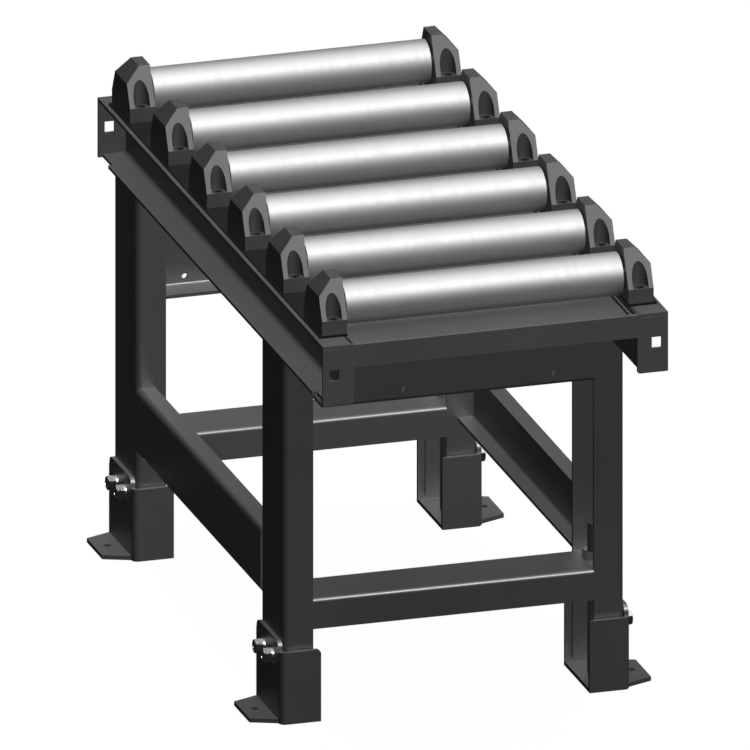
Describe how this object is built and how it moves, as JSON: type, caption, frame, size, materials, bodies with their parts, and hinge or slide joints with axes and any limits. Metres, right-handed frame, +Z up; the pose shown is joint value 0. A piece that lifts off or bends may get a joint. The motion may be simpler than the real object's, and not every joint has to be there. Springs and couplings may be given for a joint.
{
  "type": "roller conveyor",
  "caption": "Free-standing gravity roller conveyor: bright steel rollers in cast bearing blocks on a folded sheet steel stand with levelling feet and floor anchor tabs.",
  "frame": {"origin": "on the floor under the middle of the overall box", "axes": "+X along the rollers to the right, +Y along the conveyor to the rear, +Z up"},
  "size_m": [0.567, 1.04, 0.681],
  "materials": {
    "rail_paint": "satin powder coat, anthracite grey",
    "frame_paint": "satin powder coat, darker anthracite grey",
    "casting_paint": "satin paint over a fine cast surface, anthracite grey",
    "roller_steel": "bright ground and zinc plated tube",
    "shaft_steel": "turned steel",
    "bearing_steel": "ground bearing steel with dark shields",
    "shim_plate": "blackened steel",
    "zinc_hardware": "zinc plated",
    "black_hardware": "blackened steel, slightly oiled"
  },
  "bodies": {
    "frame": {"rail_left": "rail_paint", "rail_right": "rail_paint", "crossbeam_front": "rail_paint", "crossbeam_rear": "rail_paint", "deck_sheet": "rail_paint", "leg_front_left": "frame_paint", "leg_front_right": "frame_paint", "leg_rear_left": "frame_paint", "leg_rear_right": "frame_paint", "upper_beam_front": "frame_paint", "upper_beam_rear": "frame_paint", "lower_beam_front": "frame_paint", "lower_beam_rear": "frame_paint", "side_beam_left": "frame_paint", "side_beam_right": "frame_paint", "bridge_plates": "frame_paint", "levelling_nuts": "zinc_hardware", "bearing_block_left_1": "casting_paint", "bearing_block_left_2": "casting_paint", "bearing_block_left_3": "casting_paint", "bearing_block_left_4": "casting_paint", "bearing_block_left_5": "casting_paint", "bearing_block_left_6": "casting_paint", "bearing_block_right_1": "casting_paint", "bearing_block_right_2": "casting_paint", "bearing_block_right_3": "casting_paint", "bearing_block_right_4": "casting_paint", "bearing_block_right_5": "casting_paint", "bearing_block_right_6": "casting_paint", "bearings_left": "bearing_steel", "bearings_right": "bearing_steel", "block_shims": "shim_plate", "block_bolts": "black_hardware"},
    "roller_1": {"roller_tube_1": "roller_steel", "roller_shaft_1": "shaft_steel"},
    "roller_2": {"roller_tube_2": "roller_steel", "roller_shaft_2": "shaft_steel"},
    "roller_3": {"roller_tube_3": "roller_steel", "roller_shaft_3": "shaft_steel"},
    "roller_4": {"roller_tube_4": "roller_steel", "roller_shaft_4": "shaft_steel"},
    "roller_5": {"roller_tube_5": "roller_steel", "roller_shaft_5": "shaft_steel"},
    "roller_6": {"roller_tube_6": "roller_steel", "roller_shaft_6": "shaft_steel"},
    "foot_unit_front_left": {"foot_front_left": "frame_paint", "spindle_front_left": "black_hardware", "clamp_bolts_front_left": "zinc_hardware"},
    "foot_unit_front_right": {"foot_front_right": "frame_paint", "spindle_front_right": "black_hardware", "clamp_bolts_front_right": "zinc_hardware"},
    "foot_unit_rear_left": {"foot_rear_left": "frame_paint", "spindle_rear_left": "black_hardware", "clamp_bolts_rear_left": "zinc_hardware"},
    "foot_unit_rear_right": {"foot_rear_right": "frame_paint", "spindle_rear_right": "black_hardware", "clamp_bolts_rear_right": "zinc_hardware"}
  },
  "joints": [
    {"name": "roller_1_spin", "type": "hinge", "parent": "frame", "child": "roller_1", "pos_m": [0, -0.4425, 0.639], "axis": [1, 0, 0], "continuous": true},
    {"name": "roller_2_spin", "type": "hinge", "parent": "frame", "child": "roller_2", "pos_m": [0, -0.2655, 0.639], "axis": [1, 0, 0], "continuous": true},
    {"name": "roller_3_spin", "type": "hinge", "parent": "frame", "child": "roller_3", "pos_m": [0, -0.0885, 0.639], "axis": [1, 0, 0], "continuous": true},
    {"name": "roller_4_spin", "type": "hinge", "parent": "frame", "child": "roller_4", "pos_m": [0, 0.0885, 0.639], "axis": [1, 0, 0], "continuous": true},
    {"name": "roller_5_spin", "type": "hinge", "parent": "frame", "child": "roller_5", "pos_m": [0, 0.2655, 0.639], "axis": [1, 0, 0], "continuous": true},
    {"name": "roller_6_spin", "type": "hinge", "parent": "frame", "child": "roller_6", "pos_m": [0, 0.4425, 0.639], "axis": [1, 0, 0], "continuous": true},
    {"name": "level_front_left", "type": "slide", "parent": "frame", "child": "foot_unit_front_left", "axis": [0, 0, 1], "range_m": [-0.035, 0]},
    {"name": "level_front_right", "type": "slide", "parent": "frame", "child": "foot_unit_front_right", "axis": [0, 0, 1], "range_m": [-0.035, 0]},
    {"name": "level_rear_left", "type": "slide", "parent": "frame", "child": "foot_unit_rear_left", "axis": [0, 0, 1], "range_m": [-0.035, 0]},
    {"name": "level_rear_right", "type": "slide", "parent": "frame", "child": "foot_unit_rear_right", "axis": [0, 0, 1], "range_m": [-0.035, 0]}
  ]
}
